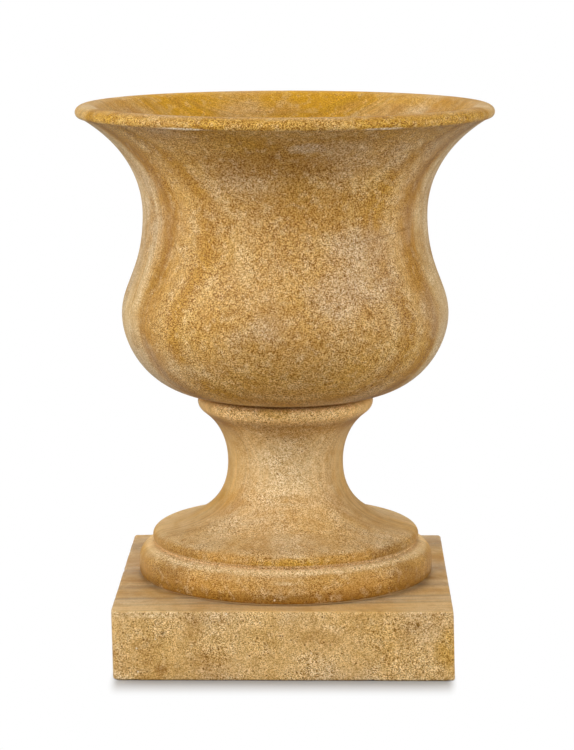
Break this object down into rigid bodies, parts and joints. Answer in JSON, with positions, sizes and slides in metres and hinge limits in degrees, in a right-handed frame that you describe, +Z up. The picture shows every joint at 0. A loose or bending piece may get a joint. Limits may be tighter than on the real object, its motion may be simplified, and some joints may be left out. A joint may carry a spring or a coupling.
{
  "type": "stone urn planter",
  "caption": "Turned stone campana urn with a flared bowl on a waisted foot and a square plinth, for holding plants or as a garden and interior ornament.",
  "frame": {"origin": "centre of the plinth's flat underside, on the ground", "axes": "+Z up along the axis on which the bowl and the foot are turned; X and Y square to the plinth's sides, with -Y the side that faces the viewer"},
  "size_m": [0.382, 0.3818, 0.5],
  "materials": {
    "banded_stone": "honed",
    "stone_resin": "matte",
    "stainless_steel": "satin",
    "seal_rubber": "matte"
  },
  "bodies": {
    "root": {"plinth": "banded_stone", "foot_bed": "stone_resin", "foot": "banded_stone", "bowl_bed": "stone_resin", "bowl": "banded_stone", "tie_rod": "stainless_steel", "plinth_washer": "stainless_steel", "plinth_nut": "stainless_steel", "bowl_seal": "seal_rubber", "bowl_washer": "stainless_steel", "bowl_nut": "stainless_steel"}
  },
  "joints": []
}
